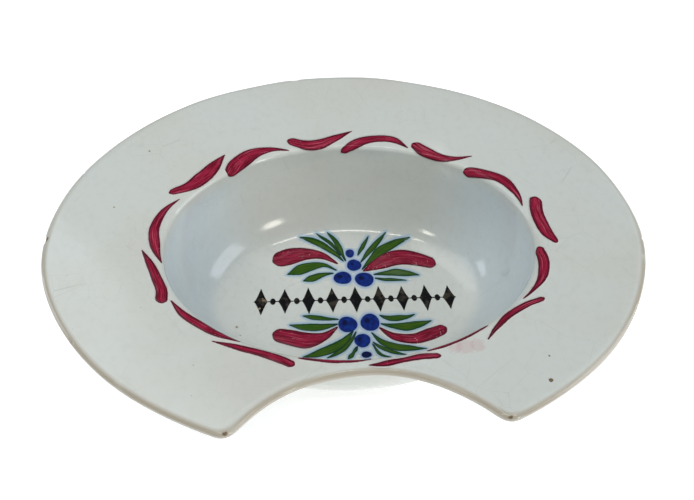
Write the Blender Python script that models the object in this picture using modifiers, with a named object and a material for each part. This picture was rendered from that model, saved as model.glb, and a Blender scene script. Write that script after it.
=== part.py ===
"""Oval tin-glazed earthenware barber's bowl with a neck notch.

Metres, +Z up. The bowl stands on its foot ring at z = 0, with its long axis along X
and the neck notch towards -Y. The origin is on the ground under the middle of the
plan. The clay is modelled first. The glaze is a skin drawn from the clay's own
surface, and every enamel motif is a thin sheet laid on the glaze.
"""

import math

import bmesh
import bpy
import numpy as np

# Driving dimensions of the finished, glazed bowl
LENGTH = 0.320
WIDTH = 0.250
HEIGHT = 0.074
RIM_RISE = 0.0042
WELL_LENGTH = 0.2052
WELL_WIDTH = 0.1464
FLOOR_HEIGHT = 0.012
OUTLINE_POWER = 1.95

# Layers
CLAY = 0.0043
GLAZE = 0.0004
GAP = 0.0003
COAT = GLAZE + GAP
ENAMEL = 0.0003
ENAMEL_GAP = 0.001
SLOPE_STEP = 0.0008

# The plan is slid along Y so that the notched outline is centred on the origin
OUTLINE_Y = -0.0058
WELL_Y = OUTLINE_Y - 0.0057
NOTCH_X = -0.004
NOTCH_Y = OUTLINE_Y - 0.165
NOTCH_RADIUS = 0.081
TIP_BLEND = 0.006

# The well's wall: a quarter ellipse up from the floor, then a rounded edge
WALL_RUN = 0.036
WELL_EDGE_RADIUS = 0.0055
WALL_STEPS = 6
EDGE_STEPS = 3
RIM_STEPS = 2
RAYS = 48
RIM_ROUNDING = 0.0016

# Foot ring, on an oval inside the flat of the floor
FOOT_LENGTH = 0.124
FOOT_WIDTH = 0.068
FOOT_WALL = 0.006
FOOT_ROUNDING = 0.0007

# Sizes of the clay under the coat
CLAY_A = LENGTH / 2 - COAT
CLAY_B = WIDTH / 2 - COAT
CLAY_NOTCH = NOTCH_RADIUS + COAT
EDGE_A = WELL_LENGTH / 2 + COAT
EDGE_B = WELL_WIDTH / 2 + COAT
EDGE_Z = HEIGHT - COAT - RIM_RISE
FLOOR_Z = FLOOR_HEIGHT - COAT
BASE_Z = FLOOR_Z - CLAY

# Colours
BUFF = (0.62, 0.47, 0.32)
SOLE = (0.55, 0.41, 0.27)
WHITE = (0.72, 0.75, 0.71)
CRIMSON = (0.36, 0.02, 0.07)
COBALT = (0.02, 0.06, 0.30)
GREEN = (0.07, 0.16, 0.03)
BLACK = (0.01, 0.01, 0.01)

# Garland round the well's edge: where each stroke starts and ends round the edge, its
# start, middle and end height across the edge (out onto the rim is positive) and its
# half width, all in millimetres, clockwise from the far left
GARLAND_START_DEG = 157
GARLAND = (
    (8, 46, (8, 3, 10), 3.5),
    (37, 78, (-5, 3, -1), 3.6),
    (81, 117, (6, 0, 9), 2.9),
    (110, 151, (-7, 3, -1), 2.6),
    (152, 185, (4, -2, 8), 2.8),
    (189, 231, (-6, 3, -1), 2.9),
    (227, 258, (9, 3, 8), 3.0),
    (260, 299, (-3, 2, -1), 2.4),
    (294, 332, (8, 0, 5), 1.6),
    (324, 360, (-2, -4, -2), 2.2),
    (356, 390, (3, 0, 1), 1.4),
    (388, 424, (-3, -3, -2), 2.2),
    (424, 464, (3, 0, 4), 1.8),
    (454, 496, (-2, 0, 1), 2.0),
    (496, 530, (6, 2, 7), 2.2),
    (522, 566, (-3, 3, 1), 2.2),
)

# Floor decoration, about its own centre: root, belly and tip of each brush mark in
# millimetres, and its half width
DECOR_X = 0.005
DECOR_Y = OUTLINE_Y - 0.0065
PETALS = {
    "petal_upper_left": ((-9, 27), (-28, 36), (-49, 31), 4.8),
    "petal_lower_left": ((-13, -18), (-31, -26), (-50, -20), 4.2),
    "petal_upper_right": ((6, 20), (29, 30), (53, 23), 4.8),
    "petal_lower_right": ((12, -20), (30, -29), (51, -23), 3.3),
}
LEAVES = {
    "leaf_upper_left_outer": ((-10, 22), (-25, 26), (-40, 21), 2.9),
    "leaf_upper_left_inner": ((-12, 20), (-21, 18), (-31, 15), 1.9),
    "leaf_lower_left_inner": ((-11, -13), (-22, -12), (-33, -9), 1.3),
    "leaf_lower_left_outer": ((-12, -16), (-27, -18), (-41, -15), 2.0),
    "leaf_upper_right_outer": ((12, 17), (27, 18), (42, 15), 2.1),
    "leaf_upper_right_inner": ((13, 15), (23, 13), (33, 12), 1.0),
    "leaf_lower_right_inner": ((12, -12), (23, -15), (34, -13), 1.6),
    "leaf_lower_right_outer": ((12, -18), (28, -21), (44, -18), 2.3),
    "blade_upper_left_1": ((-4, 28), (-16, 41), (-32, 47), 1.7),
    "blade_upper_left_2": ((-6, 33), (-12, 43), (-21, 49), 1.0),
    "blade_upper_left_3": ((-3, 28), (-7, 40), (-14, 50), 1.4),
    "blade_upper_right_1": ((4, 32), (8, 40), (13, 46), 1.1),
    "blade_upper_right_2": ((8, 29), (14, 38), (24, 47), 1.6),
    "blade_upper_right_3": ((6, 21), (20, 36), (39, 42), 2.5),
    "blade_lower_left_1": ((-4, -24), (-17, -32), (-34, -37), 2.2),
    "blade_lower_left_2": ((-2, -22), (-9, -32), (-21, -38), 1.2),
    "blade_lower_left_3": ((-2, -32), (-5, -36), (-9, -40), 1.1),
    "blade_lower_right_1": ((6, -23), (20, -34), (37, -37), 1.9),
    "blade_lower_right_2": ((6, -29), (15, -36), (25, -40), 1.1),
    "blade_lower_right_3": ((6, -30), (10, -37), (17, -41), 0.8),
}
BERRIES = {
    "berry_upper_tip": (-0.3, 34.5, 2.8),
    "berry_upper_middle": (1.5, 25.2, 4.2),
    "berry_upper_left": (-6.5, 16.1, 4.8),
    "berry_upper_right": (6.7, 14.1, 5.1),
    "berry_lower_left": (-6.6, -16.9, 5.1),
    "berry_lower_right": (6.7, -16.4, 5.4),
    "berry_lower_middle": (0.9, -28.2, 4.3),
    "berry_lower_tip": (2.2, -37.6, 2.3),
}

# Chain of lozenges and beads across the middle of the floor
CHAIN_HALF_LENGTH = 0.061
CHAIN_TILT = math.radians(-2)
CHAIN_LOZENGES = 9
CHAIN_STEPS = 10
LOZENGE_HALF = 0.0088
BEAD_HALF = 0.0016
LINK_HALF = 0.0004


# ---------------------------------------------------------------- the bowl's geometry

def oval_reach(a, b, angle):
    """Distance from an oval's centre to its edge along a ray."""
    return a * b / math.hypot(b * math.cos(angle), a * math.sin(angle))


def outline_excess(x, y, notched):
    """Below zero inside the rim's outline, above zero outside it."""
    level = abs(x / CLAY_A) ** OUTLINE_POWER + abs((y - OUTLINE_Y) / CLAY_B) ** OUTLINE_POWER
    edge = (level ** (1 / OUTLINE_POWER) - 1) * CLAY_B
    if not notched:
        return edge
    bite = CLAY_NOTCH - math.hypot(x - NOTCH_X, y - NOTCH_Y)
    blend = max(TIP_BLEND - abs(edge - bite), 0) / TIP_BLEND
    return max(edge, bite) + blend * blend * TIP_BLEND / 4


def rim_reach(angle, notched):
    """Distance from the well's centre to the rim's edge along a ray, by bisection."""
    near = 0.05
    far = LENGTH
    for _ in range(40):
        middle = (near + far) / 2
        x = middle * math.cos(angle)
        y = WELL_Y + middle * math.sin(angle)
        if outline_excess(x, y, notched) < 0:
            near = middle
        else:
            far = middle
    return near


def well_section():
    """The wall as (inset from the well's edge, height), from the floor up."""
    rise = EDGE_Z - FLOOR_Z - WELL_EDGE_RADIUS
    run = WALL_RUN - WELL_EDGE_RADIUS
    section = []
    for step in range(WALL_STEPS + 1):
        turn = math.pi / 2 * step / WALL_STEPS
        section.append((WALL_RUN - run * math.sin(turn), FLOOR_Z + rise * (1 - math.cos(turn))))
    for step in range(1, EDGE_STEPS + 1):
        turn = math.pi / 2 * step / EDGE_STEPS
        inset = WELL_EDGE_RADIUS * math.cos(turn)
        height = EDGE_Z - WELL_EDGE_RADIUS * (1 - math.sin(turn))
        section.append((inset, height))
    return section


SECTION = well_section()
SECTION_INSETS = [inset for inset, _ in reversed(SECTION)]
SECTION_HEIGHTS = [height for _, height in reversed(SECTION)]
SECTION_ARC = np.concatenate((
    [0], np.cumsum(np.hypot(np.diff(SECTION_INSETS), np.diff(SECTION_HEIGHTS)))))


def well_point(angle, inset, height):
    """A point on the wall, at an inset that shrinks with the well's oval."""
    edge = oval_reach(EDGE_A, EDGE_B, angle)
    floor = oval_reach(EDGE_A - WALL_RUN, EDGE_B - WALL_RUN, angle)
    reach = edge - (edge - floor) * inset / WALL_RUN
    return reach * math.cos(angle), WELL_Y + reach * math.sin(angle), height


def rim_point(angle, reach):
    """A point on the rim, which climbs evenly to the edge it had before the notch."""
    edge = oval_reach(EDGE_A, EDGE_B, angle)
    share = (reach - edge) / (rim_reach(angle, False) - edge)
    return reach * math.cos(angle), WELL_Y + reach * math.sin(angle), EDGE_Z + RIM_RISE * share


def edge_point(angle, across):
    """A point on the clay at a distance across the well's edge, outwards positive."""
    if across >= 0:
        return rim_point(angle, oval_reach(EDGE_A, EDGE_B, angle) + across)
    inset = float(np.interp(-across, SECTION_ARC, SECTION_INSETS))
    height = float(np.interp(-across, SECTION_ARC, SECTION_HEIGHTS))
    return well_point(angle, inset, height)


def floor_point(x, y):
    """The point of the floor or the lower wall at a plan position."""
    angle = math.atan2(y - WELL_Y, x)
    reach = math.hypot(x, y - WELL_Y)
    edge = oval_reach(EDGE_A, EDGE_B, angle)
    floor = oval_reach(EDGE_A - WALL_RUN, EDGE_B - WALL_RUN, angle)
    inset = WALL_RUN * (edge - reach) / (edge - floor)
    return x, y, float(np.interp(inset, SECTION_INSETS, SECTION_HEIGHTS))


def lifted(surface, first, second):
    """A point of a two-parameter surface, raised off it to carry enamel."""
    along = np.subtract(surface(first + SLOPE_STEP, second), surface(first - SLOPE_STEP, second))
    over = np.subtract(surface(first, second + SLOPE_STEP), surface(first, second - SLOPE_STEP))
    normal = np.cross(along, over)
    normal *= math.copysign(1, normal[2]) / np.linalg.norm(normal)
    return surface(first, second) + normal * (COAT + ENAMEL_GAP)


def ray_angles():
    """Ray directions from the well's centre, closer together round the notch and its tips."""
    spread = [2 * math.pi * step / RAYS for step in range(RAYS)]
    even = [math.atan2(EDGE_B * math.sin(turn), EDGE_A * math.cos(turn)) for turn in spread]
    side = math.radians(1.6)
    tips = []
    for step in range(-1800, 0):
        angle = math.radians(step / 10)
        reach = rim_reach(angle, True)
        x = reach * math.cos(angle)
        y = WELL_Y + reach * math.sin(angle)
        off_edge = abs(outline_excess(x, y, False))
        off_bite = abs(CLAY_NOTCH - math.hypot(x - NOTCH_X, y - NOTCH_Y))
        tips.append((abs(off_edge - off_bite), angle))
    left = min(tip for tip in tips if tip[1] < -math.pi / 2)[1]
    right = min(tip for tip in tips if tip[1] > -math.pi / 2)[1]
    kept = [a for a in even if min(abs(a - left), abs(a - right)) > 2 * side]
    kept.sort()
    halfway = [(a + b) / 2 for a, b in zip(kept, kept[1:]) if left < a and b < right]
    corners = [tip + shift for tip in (left, right) for shift in (-side, 0, side)]
    return sorted(kept + halfway + corners)


# ---------------------------------------------------------------- Blender helpers

def clear_scene():
    for obj in list(bpy.data.objects):
        bpy.data.objects.remove(obj, do_unlink=True)


def new_collection(name):
    collection = bpy.data.collections.new(name)
    bpy.context.scene.collection.children.link(collection)
    return collection


def principled(name, colour, roughness):
    material = bpy.data.materials.new(name)
    material.use_nodes = True
    shader = material.node_tree.nodes["Principled BSDF"]
    shader.inputs["Base Color"].default_value = (*colour, 1)
    shader.inputs["Roughness"].default_value = roughness
    shader.inputs["Metallic"].default_value = 0
    material.diffuse_color = (*colour, 1)
    return material


def add_object(name, bm, material, collection):
    """Turns a bmesh into a named object in the collection, shaded smooth."""
    mesh = bpy.data.meshes.new(name)
    bm.to_mesh(mesh)
    bm.free()
    obj = bpy.data.objects.new(name, mesh)
    obj.data.materials.append(material)
    collection.objects.link(obj)
    mesh.shade_smooth()
    return obj


def thicken(obj, thickness, offset):
    modifier = obj.modifiers.new("thickness", "SOLIDIFY")
    modifier.thickness = thickness
    modifier.offset = offset
    modifier.use_even_offset = True
    return modifier


def round_edges(obj, width, segments):
    modifier = obj.modifiers.new("rounding", "BEVEL")
    modifier.width = width
    modifier.segments = segments
    modifier.limit_method = "ANGLE"
    modifier.angle_limit = math.radians(50)
    return modifier


# ---------------------------------------------------------------- clay and glaze

def build_clay(material, collection):
    """The pressed sheet of clay: its upper face is lofted, then given its thickness."""
    angles = ray_angles()
    rings = []
    for a, b in ((FOOT_LENGTH / 2, FOOT_WIDTH / 2), (EDGE_A - WALL_RUN, EDGE_B - WALL_RUN)):
        ring = []
        for angle in angles:
            reach = oval_reach(a, b, angle)
            ring.append((reach * math.cos(angle), WELL_Y + reach * math.sin(angle), FLOOR_Z))
        rings.append(ring)
    for inset, height in SECTION[1:]:
        rings.append([well_point(angle, inset, height) for angle in angles])
    for step in range(1, RIM_STEPS + 1):
        ring = []
        for angle in angles:
            edge = oval_reach(EDGE_A, EDGE_B, angle)
            reach = edge + (rim_reach(angle, True) - edge) * step / RIM_STEPS
            ring.append(rim_point(angle, reach))
        rings.append(ring)

    bm = bmesh.new()
    centre = bm.verts.new((0, WELL_Y, FLOOR_Z))
    loops = [[bm.verts.new(point) for point in ring] for ring in rings]
    count = len(angles)
    for j in range(count):
        k = (j + 1) % count
        bm.faces.new((centre, loops[0][j], loops[0][k]))
        for inner, outer in zip(loops, loops[1:]):
            bm.faces.new((inner[j], outer[j], outer[k], inner[k]))
    clay = add_object("clay_body", bm, material, collection)
    thicken(clay, CLAY, -1)
    round_edges(clay, RIM_ROUNDING, 2)
    return clay


def build_glaze_coat(clay, material, collection):
    """The glaze over the clay, open under the foot, drawn from the clay's own surface."""
    depsgraph = bpy.context.evaluated_depsgraph_get()
    mesh = bpy.data.meshes.new_from_object(clay.evaluated_get(depsgraph))
    bm = bmesh.new()
    bm.from_mesh(mesh)
    bpy.data.meshes.remove(mesh)

    def under_foot(face):
        middle = face.calc_center_median()
        within = math.hypot(middle.x / FOOT_LENGTH, (middle.y - WELL_Y) / FOOT_WIDTH) < 0.5
        return within and middle.z < BASE_Z + CLAY / 2

    open_area = [face for face in bm.faces if under_foot(face)]
    bmesh.ops.delete(bm, geom=open_area, context="FACES")
    coat = add_object("glaze_coat", bm, material, collection)
    coat.data.materials.clear()
    coat.data.materials.append(material)
    lift = coat.modifiers.new("gap", "DISPLACE")
    lift.mid_level = 0
    lift.strength = GAP
    thicken(coat, GLAZE, 1)
    return coat


def oval_block(name, length, width, low, high, material, collection):
    """An upright oval prism between two heights, centred on the well."""
    bm = bmesh.new()
    bmesh.ops.create_cone(
        bm, cap_ends=True, segments=RAYS, radius1=0.5, radius2=0.5, depth=high - low)
    for vert in bm.verts:
        vert.co.x *= length
        vert.co.y = vert.co.y * width + WELL_Y
        vert.co.z += (low + high) / 2
    return add_object(name, bm, material, collection)


def build_foot(material, collection, cutters):
    """The oval foot ring luted under the floor, hollow in the middle."""
    outer = FOOT_LENGTH - 2 * GAP
    wide = FOOT_WIDTH - 2 * GAP
    foot = oval_block("foot_ring", outer, wide, 0, BASE_Z - GAP, material, collection)
    recess = oval_block(
        "foot_recess_cutter", outer - 2 * FOOT_WALL, wide - 2 * FOOT_WALL,
        -FOOT_WALL, BASE_Z + FOOT_WALL, material, cutters)
    recess.hide_render = True
    recess.display_type = "WIRE"
    cut = foot.modifiers.new("recess", "BOOLEAN")
    cut.operation = "DIFFERENCE"
    cut.object = recess
    round_edges(foot, FOOT_ROUNDING, 1)
    return foot


def build_glaze_recess(material, collection):
    """The glaze pooled on the base inside the foot ring."""
    length = FOOT_LENGTH - 2 * FOOT_WALL - 4 * GAP
    width = FOOT_WIDTH - 2 * FOOT_WALL - 4 * GAP
    return oval_block(
        "glaze_recess", length, width, BASE_Z - COAT, BASE_Z - GAP, material, collection)


# ---------------------------------------------------------------- enamel motifs

def enamel_sheet(name, bm, place, material, collection):
    """Lays a flat unit sheet on the glaze through a placing function and thickens it."""
    for vert in bm.verts:
        vert.co = place(vert.co.x, vert.co.y)
    sheet = add_object(name, bm, material, collection)
    thicken(sheet, ENAMEL, 1)
    return sheet


def unit_grid(along, across):
    """A flat grid from 0 to 1 along X and from -1 to 1 along Y."""
    bm = bmesh.new()
    bmesh.ops.create_grid(bm, x_segments=along, y_segments=across, size=1)
    for vert in bm.verts:
        vert.co.x = (vert.co.x + 1) / 2
    return bm


def curve_through(start, middle, end, share):
    """The parabola through three values at the shares 0, 1/2 and 1."""
    bend = 4 * share * (1 - share)
    chord = start + (end - start) * share
    return chord + (middle - (start + end) / 2) * bend


def brush_width(share, fat_end):
    """Relative half width of a brush mark: round at one end, drawn out to a tip."""
    if not fat_end:
        share = 1 - share
    round_end = math.sqrt(min(share / 0.16, 1) * (2 - min(share / 0.16, 1)))
    taper = 1 - max(share - 0.3, 0) ** 1.5 / 0.7 ** 1.5
    return max(round_end * taper, 0.08)


def leaf_width(share):
    """Relative half width of a leaf: drawn out at both ends, fullest past the middle."""
    return max(math.sin(math.pi * share ** 1.25) ** 1.2, 0.1)


def build_garland(material, collection):
    """Sixteen overlapping strokes that bow by turns into the well and onto the rim."""
    turns = [math.radians(GARLAND_START_DEG - degree) for degree in range(361)]
    xs = [EDGE_A * math.cos(turn) for turn in turns]
    ys = [EDGE_B * math.sin(turn) for turn in turns]
    arc = np.concatenate(([0], np.cumsum(np.hypot(np.diff(xs), np.diff(ys)))))

    def angle_at(distance):
        turn = float(np.interp(distance % arc[-1], arc, turns))
        return math.atan2(EDGE_B * math.sin(turn), EDGE_A * math.cos(turn))

    def stroke_path(index, share):
        first, last, heights, _ = GARLAND[index]
        travel = first + (last - first) * share
        return travel / 1000, curve_through(*heights, share) / 1000

    for index, (_, _, _, half_width) in enumerate(GARLAND):

        def place(share, side):
            travel, across = stroke_path(index, share)
            ahead = stroke_path(index, share + 0.001)
            heading = math.atan2(ahead[1] - across, ahead[0] - travel)
            width = side * brush_width(share, True) * half_width / 1000
            travel -= math.sin(heading) * width
            across += math.cos(heading) * width
            return lifted(edge_point, angle_at(travel), across)

        enamel_sheet(
            f"garland_stroke_{index + 1:02d}", unit_grid(10, 4), place, material, collection)


def build_mark(name, mark, width_rule, along, material, collection):
    """One petal or leaf of the floor decoration, from root to tip."""
    root, belly, tip, half_width = mark

    def spine(share):
        x = curve_through(root[0], belly[0], tip[0], share) / 1000
        y = curve_through(root[1], belly[1], tip[1], share) / 1000
        return DECOR_X + x, DECOR_Y + y

    def place(share, side):
        x, y = spine(share)
        ahead = spine(share + 0.001)
        heading = math.atan2(ahead[1] - y, ahead[0] - x)
        width = side * width_rule(share) * half_width / 1000
        return lifted(floor_point, x - math.sin(heading) * width, y + math.cos(heading) * width)

    enamel_sheet(name, unit_grid(along, 1), place, material, collection)


def build_sprays(crimson, green, cobalt, collection):
    """The two sprays of petals, leaves and berries above and below the chain."""
    for name, mark in PETALS.items():
        build_mark(name, mark, lambda share: brush_width(share, False), 8, crimson, collection)
    for name, mark in LEAVES.items():
        build_mark(name, mark, leaf_width, 6, green, collection)
    for name, (x, y, radius) in BERRIES.items():
        bm = bmesh.new()
        bmesh.ops.create_circle(bm, cap_ends=True, segments=12, radius=radius / 1000)

        def place(over, up):
            return lifted(floor_point, DECOR_X + x / 1000 + over, DECOR_Y + y / 1000 + up)

        enamel_sheet(name, bm, place, cobalt, collection)


def build_chain(material, collection):
    """A chain of lozenges with a bead in each link, across the middle of the floor."""
    steps = CHAIN_LOZENGES * CHAIN_STEPS - CHAIN_STEPS // 2 + 1

    def half_width(share):
        phase = share * steps % CHAIN_STEPS
        lozenge = 1 - abs(phase - 3) / 3
        bead = 1 - abs(phase - 8)
        return max(LOZENGE_HALF * lozenge, BEAD_HALF * bead, LINK_HALF)

    def place(share, side):
        along = (2 * share - 1) * CHAIN_HALF_LENGTH
        across = side * half_width(round(share * steps) / steps)
        x = DECOR_X + along * math.cos(CHAIN_TILT) - across * math.sin(CHAIN_TILT)
        y = DECOR_Y + along * math.sin(CHAIN_TILT) + across * math.cos(CHAIN_TILT)
        return lifted(floor_point, x, y)

    enamel_sheet("ornament_chain", unit_grid(steps, 1), place, material, collection)


def main():
    clear_scene()
    bowl = new_collection("shaving_bowl")
    cutters = new_collection("cutters")
    buff = principled("buff_clay", BUFF, 0.85)
    sole = principled("foot_clay", SOLE, 0.9)
    white = principled("tin_glaze", WHITE, 0.12)
    crimson = principled("crimson_enamel", CRIMSON, 0.25)
    cobalt = principled("cobalt_enamel", COBALT, 0.2)
    green = principled("green_enamel", GREEN, 0.25)
    black = principled("black_enamel", BLACK, 0.3)

    clay = build_clay(buff, bowl)
    build_glaze_coat(clay, white, bowl)
    build_foot(sole, bowl, cutters)
    build_glaze_recess(white, bowl)
    build_garland(crimson, bowl)
    build_sprays(crimson, green, cobalt, bowl)
    build_chain(black, bowl)


main()
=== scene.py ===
"""Looks of the oval faience barber's bowl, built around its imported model.

Metres, +Z up, in the model's own frame: the bowl stands at z = 0 with its long axis along
X and the neck notch towards -Y. Every surface is worked out from one formula for the
glazed bowl, so the glaze, the clay under it and the enamel on it fit each other.
"""

import math

import bpy
import numpy as np
from mathutils import Matrix, Vector


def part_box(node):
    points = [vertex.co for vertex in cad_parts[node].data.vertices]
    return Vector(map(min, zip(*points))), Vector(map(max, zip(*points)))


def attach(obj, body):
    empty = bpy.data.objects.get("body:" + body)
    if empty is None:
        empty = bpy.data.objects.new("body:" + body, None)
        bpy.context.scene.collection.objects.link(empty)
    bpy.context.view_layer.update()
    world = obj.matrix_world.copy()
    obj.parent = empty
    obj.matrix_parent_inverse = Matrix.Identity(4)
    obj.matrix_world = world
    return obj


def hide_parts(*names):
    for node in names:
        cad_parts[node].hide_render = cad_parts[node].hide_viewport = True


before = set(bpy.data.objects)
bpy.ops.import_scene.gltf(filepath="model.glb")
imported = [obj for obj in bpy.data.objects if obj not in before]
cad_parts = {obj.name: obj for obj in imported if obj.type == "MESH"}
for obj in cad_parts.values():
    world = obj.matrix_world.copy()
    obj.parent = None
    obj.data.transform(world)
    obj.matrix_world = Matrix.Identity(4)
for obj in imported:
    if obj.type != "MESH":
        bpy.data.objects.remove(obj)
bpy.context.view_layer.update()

MM = 0.001

# ---------------------------------------------------------------- sizes of the glazed bowl

coat_low, coat_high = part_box("glaze_coat")
foot_low, foot_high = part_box("foot_ring")
recess_low, recess_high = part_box("glaze_recess")

COAT = 0.7 * MM
GLAZE = 0.4 * MM
THICKNESS = 5.7 * MM
RIM_A = (coat_high.x - coat_low.x) / 2
RIM_B = 125 * MM
RIM_RISE = 4.2 * MM
RIM_TOP = coat_high.z
OUTLINE_POWER = 1.95
OUTLINE_Y = -5.8 * MM
WELL_Y = OUTLINE_Y - 5.7 * MM
NOTCH_X = -4 * MM
NOTCH_Y = OUTLINE_Y - 165 * MM
NOTCH_RADIUS = 81 * MM
TIP_BLEND = 6 * MM

# How far the hand-cut outline and notch wander, and how uneven the pressed face is
OUTLINE_WAVE = 0.2 * MM
OUTLINE_RIPPLE = 0.12 * MM
NOTCH_WAVE = 0.25 * MM
NOTCH_WAVE_RUN = 9 * MM
FACE_WAVE = 0.12 * MM
FACE_RIPPLE = 0.035 * MM

# Reaches from the well's centre that lie inside and outside the rim everywhere
NEAREST_REACH = 50 * MM
FURTHEST_REACH = 250 * MM
HALVINGS = 40

# The well: the oval where the rim turns over, the wall's run and the rounded edge
EDGE_A = 103.3 * MM
EDGE_B = 73.9 * MM
EDGE_Z = RIM_TOP - RIM_RISE
EDGE_RADIUS = 3.2 * MM
WALL_RUN = 36 * MM
FLOOR_Z = 12 * MM

# The rolled lip: how far the top rounds over and falls, and the same underneath
LIP_RUN = 4.6 * MM
LIP_FALL = 2.4 * MM
UNDER_RUN = 2.0 * MM
UNDER_FALL = 2.0 * MM
# The least that the rim leaves outside the well's edge, where the notch comes close to it
LEAST_RIM = 0.4 * MM

# Foot ring
FOOT_A = (foot_high.x - foot_low.x) / 2
FOOT_B = (foot_high.y - foot_low.y) / 2
FOOT_TOP = foot_high.z
FOOT_WALL = 6 * MM
FOOT_GAP = 0.3 * MM
SOLE_RADIUS = 1.1 * MM
POOL_SAG = 0.5 * MM

# Mesh detail: rays from the well's centre, and rings across each part of the surface
RAYS = 640
COARSE_RAYS = RAYS // 4
FLOOR_RINGS = 40
WALL_RINGS = 36
EDGE_RINGS = 14
RIM_RINGS = 22
RIM_RINGS_INSIDE = 8
LIP_RINGS = 12
LIP_UNDER_RINGS = 8
RIM_UNDER_RINGS = 16
WALL_UNDER_RINGS = 32
SECTION_STEPS = 120
SLOPE_STEP = 0.3 * MM
SMALL_REACH = 60 * MM

# Lip rings where clay through thin glaze, with painted shade, starts, peaks, starts to fade and ends
LIP_WARMTH_AND_SHADE = (2, 5, 17, 22)

# ---------------------------------------------------------------- painted decoration

# Garland round the well's edge, clockwise from the far left. Each stroke is given at five
# even shares of its length: how far round the edge, how far across it (out onto the rim is
# positive) and its half width, in millimetres
GARLAND_START_DEG = 157
GARLAND = (
    ((7.7, 8.3, 2.2), (16.4, 2.7, 3.8), (26.7, 2.9, 4.4), (36.7, 5.9, 3.3), (46.3, 9.8, 0.3)),
    ((37.2, -4.6, 3.2), (46.9, 0.0, 4.5), (57.4, 2.7, 4.2), (68.0, 2.3, 2.1), (78.1, -1.4, 0.3)),
    ((80.5, 6.3, 3.0), (88.6, 0.5, 3.6), (98.5, 0.3, 3.5), (107.8, 4.2, 2.4), (116.8, 8.8, 0.3)),
    ((110.4, -6.9, 2.4), (119.4, -0.5, 3.3), (129.8, 3.5, 2.8), (140.7, 3.9, 2.4), (150.8, -0.6, 0.3)),
    ((151.8, 3.8, 2.8), (160.4, -0.2, 3.5), (169.6, -1.8, 2.8), (178.7, 0.6, 1.9), (184.8, 7.8, 0.3)),
    ((188.5, -6.1, 3.6), (198.1, -0.7, 3.5), (208.7, 2.8, 3.4), (219.7, 1.5, 2.1), (230.5, -1.2, 0.3)),
    ((226.9, 9.3, 3.2), (234.0, 4.7, 3.5), (242.3, 2.8, 3.7), (250.8, 4.1, 3.4), (258.0, 8.3, 1.3)),
    ((260.2, -2.6, 2.6), (269.5, 0.8, 3.0), (279.1, 2.3, 2.7), (288.9, 1.3, 1.3), (298.5, -0.6, 0.3)),
    ((294.2, 8.3, 1.6), (302.3, 2.4, 2.0), (312.0, 0.3, 1.9), (322.0, 1.6, 1.3), (331.6, 4.8, 0.3)),
    ((324.0, -2.2, 0.4), (333.0, -3.3, 2.2), (342.0, -3.6, 2.7), (351.0, -3.2, 2.3), (360.0, -1.8, 0.4)),
    ((355.6, 2.8, 1.6), (363.9, 0.6, 1.8), (372.6, 0.3, 1.4), (381.3, 1.1, 1.7), (390.0, 1.3, 0.3)),
    ((388.0, -2.6, 0.4), (397.0, -3.0, 2.3), (406.0, -3.0, 2.8), (415.0, -2.9, 2.3), (424.0, -1.6, 0.4)),
    ((424.0, 3.3, 2.0), (433.8, 0.8, 2.2), (443.9, 0.4, 2.0), (454.0, 1.8, 1.7), (463.8, 4.3, 0.3)),
    ((454.0, -2.4, 0.4), (464.5, -0.9, 2.0), (475.0, 0.1, 2.5), (485.8, 1.1, 2.0), (496.0, 0.8, 0.4)),
    ((496.0, 5.8, 2.8), (504.0, 2.1, 2.8), (512.9, 1.7, 2.6), (521.7, 3.4, 2.0), (529.7, 7.3, 0.3)),
    ((521.6, -2.9, 0.5), (532.6, 0.7, 2.7), (543.8, 3.5, 2.7), (555.2, 3.6, 2.0), (566.4, 0.8, 0.3)),
)

# Floor decoration about its own centre. Each brush mark is given at five even shares of
# its length, from root to tip: the position and the half width, in millimetres
DECOR_X = 5 * MM
DECOR_Y = OUTLINE_Y - 6.5 * MM
PETALS = {
    "petal_upper_left":
        ((-8.5, 26.8, 0.6), (-17.2, 33.2, 2.6), (-27.6, 35.7, 4.5), (-38.3, 34.0, 6.0), (-48.7, 30.8, 4.8)),
    "petal_lower_left":
        ((-12.5, -18.2, 0.6), (-21.0, -23.9, 2.8), (-30.9, -26.1, 5.3), (-40.8, -23.6, 5.2),
         (-50.5, -20.2, 4.2)),
    "petal_upper_right":
        ((6.5, 20.3, 0.6), (17.6, 25.9, 4.9), (29.3, 29.6, 5.9), (41.3, 27.4, 5.1), (52.8, 22.7, 3.6)),
    "petal_lower_right":
        ((11.5, -20.2, 0.6), (19.8, -26.9, 2.5), (30.4, -29.0, 3.4), (41.0, -26.8, 4.1),
         (51.3, -23.4, 3.4)),
}
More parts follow.
